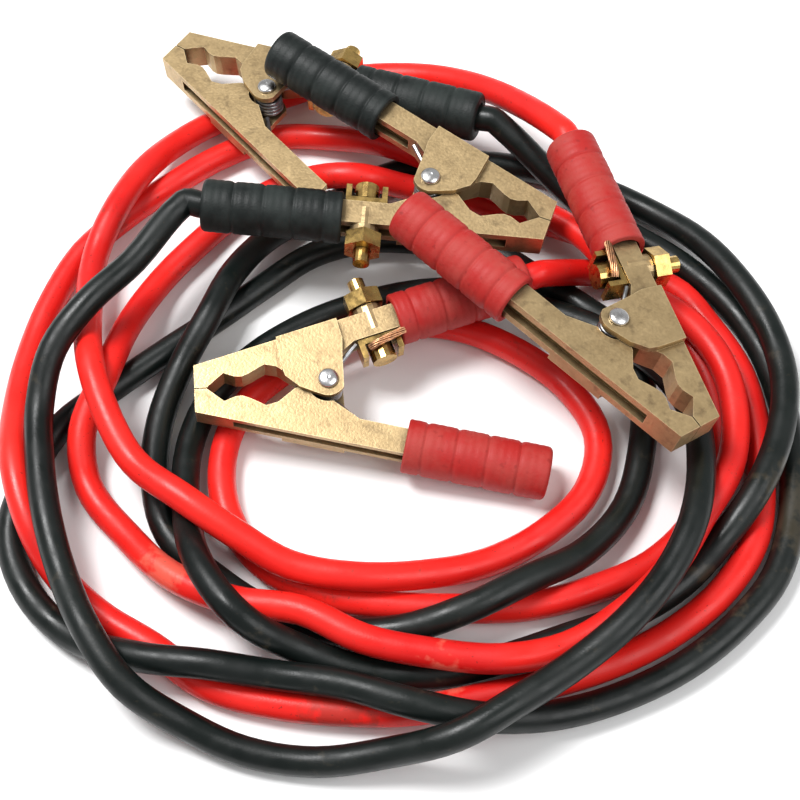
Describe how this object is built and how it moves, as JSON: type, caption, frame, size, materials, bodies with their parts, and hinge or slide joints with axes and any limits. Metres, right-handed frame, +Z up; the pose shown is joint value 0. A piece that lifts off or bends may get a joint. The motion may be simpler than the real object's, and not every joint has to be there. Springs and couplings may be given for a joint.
{
  "type": "car jumper cables",
  "caption": "Loosely coiled pair of red and black booster leads with cast brass spring clamps at the ends, for linking one vehicle battery to another.",
  "frame": {"origin": "on the floor under the middle of the four clamps", "axes": "+Z up from the floor; +X to the right and +Y away from the viewer in the picture"},
  "size_m": [0.3372, 0.3522, 0.073],
  "materials": {
    "brass": "cast, tarnished",
    "bolt_brass": "machined",
    "rivet_steel": "polished",
    "spring_steel": "oiled",
    "red_rubber": "dusty matte",
    "black_rubber": "dusty matte",
    "red_pvc": "satin, lightly soiled",
    "black_pvc": "satin, lightly soiled"
  },
  "bodies": {
    "leads_and_fixed_sides": {"black_clamp_a_cable_lever": "brass", "black_clamp_a_rivet": "rivet_steel", "black_clamp_a_spring": "spring_steel", "black_clamp_a_terminal_bolt": "bolt_brass", "black_clamp_a_terminal_nut": "bolt_brass", "black_clamp_a_saddle": "bolt_brass", "black_clamp_a_cable_sleeve": "black_rubber", "black_clamp_b_cable_lever": "brass", "black_clamp_b_rivet": "rivet_steel", "black_clamp_b_spring": "spring_steel", "black_clamp_b_terminal_bolt": "bolt_brass", "black_clamp_b_terminal_nut": "bolt_brass", "black_clamp_b_saddle": "bolt_brass", "black_clamp_b_cable_sleeve": "black_rubber", "red_clamp_c_cable_lever": "brass", "red_clamp_c_rivet": "rivet_steel", "red_clamp_c_spring": "spring_steel", "red_clamp_c_terminal_bolt": "bolt_brass", "red_clamp_c_terminal_nut": "bolt_brass", "red_clamp_c_saddle": "bolt_brass", "red_clamp_c_cable_sleeve": "red_rubber", "red_clamp_d_cable_lever": "brass", "red_clamp_d_rivet": "rivet_steel", "red_clamp_d_spring": "spring_steel", "red_clamp_d_terminal_bolt": "bolt_brass", "red_clamp_d_terminal_nut": "bolt_brass", "red_clamp_d_saddle": "bolt_brass", "red_clamp_d_cable_sleeve": "red_rubber", "red_cable": "red_pvc", "black_cable": "black_pvc"},
    "black_clamp_a_free_side": {"black_clamp_a_free_lever": "brass", "black_clamp_a_spring_leg": "spring_steel"},
    "black_clamp_b_free_side": {"black_clamp_b_free_lever": "brass", "black_clamp_b_spring_leg": "spring_steel", "black_clamp_b_free_sleeve": "black_rubber"},
    "red_clamp_c_free_side": {"red_clamp_c_free_lever": "brass", "red_clamp_c_spring_leg": "spring_steel", "red_clamp_c_free_sleeve": "red_rubber"},
    "red_clamp_d_free_side": {"red_clamp_d_free_lever": "brass", "red_clamp_d_spring_leg": "spring_steel", "red_clamp_d_free_sleeve": "red_rubber"}
  },
  "joints": [
    {"name": "black_clamp_a_hinge", "type": "hinge", "parent": "leads_and_fixed_sides", "child": "black_clamp_a_free_side", "pos_m": [-0.0675, 0.0793, 0.026], "axis": [-0.0429, 0.03, 0.9986], "range_deg": [0, 10], "stiffness_Nm_per_rad": 4, "springref_deg": -28.65},
    {"name": "black_clamp_b_hinge", "type": "hinge", "parent": "leads_and_fixed_sides", "child": "black_clamp_b_free_side", "pos_m": [0.006, 0.0173, 0.0395], "axis": [0.0653, -0.0778, 0.9948], "range_deg": [0, 12], "stiffness_Nm_per_rad": 4, "springref_deg": -28.65},
    {"name": "red_clamp_c_hinge", "type": "hinge", "parent": "leads_and_fixed_sides", "child": "red_clamp_c_free_side", "pos_m": [-0.0365, -0.0727, 0.02198], "axis": [0.0494, -0.17, 0.9842], "range_deg": [0, 20], "stiffness_Nm_per_rad": 4, "springref_deg": -28.65},
    {"name": "red_clamp_d_hinge", "type": "hinge", "parent": "leads_and_fixed_sides", "child": "red_clamp_d_free_side", "pos_m": [0.0795, -0.0617, 0.048], "axis": [-0.183, -0.037, -0.9824], "range_deg": [0, 15], "stiffness_Nm_per_rad": 4, "springref_deg": -28.65}
  ]
}
